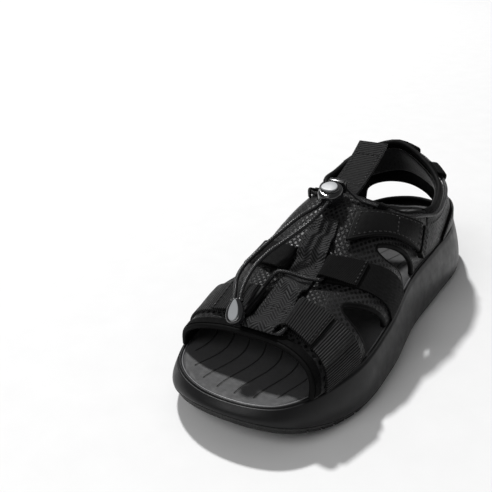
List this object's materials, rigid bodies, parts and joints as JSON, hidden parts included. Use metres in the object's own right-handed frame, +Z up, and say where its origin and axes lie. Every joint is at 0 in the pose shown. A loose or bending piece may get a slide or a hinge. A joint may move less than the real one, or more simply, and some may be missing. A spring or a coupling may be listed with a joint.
{
  "type": "sport sandal",
  "caption": "Left strappy sport sandal: cushioned sole, mesh upper with webbing, elastic lace with cord lock, hook-and-loop ankle strap, padded collar and pull tab.",
  "frame": {"origin": "middle of the sole's plan box, on the ground under the tread", "axes": "+Y towards the heel, -Y towards the toe, +X towards the outer (lateral) side of a left foot, +Z up"},
  "size_m": [0.1044, 0.2756, 0.0987],
  "materials": {
    "rubber": "matte moulded tread rubber, near black",
    "foam": "satin closed-cell foam, near black",
    "board": "pressed fibre board",
    "topcloth": "brushed dark grey cloth with moulded contour lines",
    "lining": "smooth perforated neoprene, black",
    "mesh": "open air mesh, charcoal",
    "webbing": "ribbed woven webbing, black",
    "strap": "smooth coated strap, black",
    "hook": "hook-and-loop tape, black",
    "lace": "glossy braided elastic cord, black",
    "plastic": "satin moulded plastic, black",
    "inlay": "light grey rubbery inlay",
    "steel": "bright steel wire"
  },
  "bodies": {
    "sandal": {"outsole": "rubber", "midsole": "foam", "insole_board": "board", "footbed": "topcloth", "vamp_lining": "lining", "vamp_mesh": "mesh", "toe_webbing_lateral": "webbing", "instep_webbing_lateral": "webbing", "toe_webbing_medial": "webbing", "instep_webbing_medial": "webbing", "spine_webbing": "webbing", "quarter_lining": "lining", "quarter_mesh": "mesh", "collar_pad": "lining", "heel_counter": "strap", "heel_keeper_lateral": "webbing", "heel_keeper_back": "webbing", "heel_keeper_medial": "webbing", "lace_keeper_lateral": "webbing", "lace_keeper_medial": "webbing", "loop_patch": "hook", "strap_anchor": "strap", "lace_gather": "plastic", "lace_tail_lateral": "lace", "lace_tail_medial": "lace", "lace_end_clip": "plastic", "end_clip_inlay": "inlay", "lace_front": "lace", "lace_heel": "lace"},
    "strap_flap": {"ankle_strap": "strap", "hook_patch": "hook"},
    "cord_lock": {"cord_lock_body": "plastic", "cord_lock_spring": "steel"},
    "lock_button": {"cord_lock_button": "plastic", "cord_lock_inlay": "inlay"},
    "tongue_tab": {"pull_tab": "webbing"}
  },
  "joints": [
    {"name": "ankle_strap_peel", "type": "hinge", "parent": "sandal", "child": "strap_flap", "pos_m": [0.04226, 0.01769, 0.05668], "axis": [-0.1226, 0.5966, 0.7931], "range_deg": [0, 100]},
    {"name": "cord_lock_slide", "type": "slide", "parent": "sandal", "child": "cord_lock", "axis": [0.0017, -0.9583, -0.2857], "range_m": [0, 0.01]},
    {"name": "cord_lock_press", "type": "slide", "parent": "cord_lock", "child": "lock_button", "axis": [-0.0002, 0.2857, -0.9583], "range_m": [0, 0.001], "stiffness_N_per_m": 200, "deforming": ["cord_lock_spring"]},
    {"name": "pull_tab_tilt", "type": "hinge", "parent": "sandal", "child": "tongue_tab", "pos_m": [-0.00579, 0.01091, 0.07782], "axis": [1, 0, 0], "range_deg": [-15, 30], "stiffness_Nm_per_rad": 0.02}
  ]
}
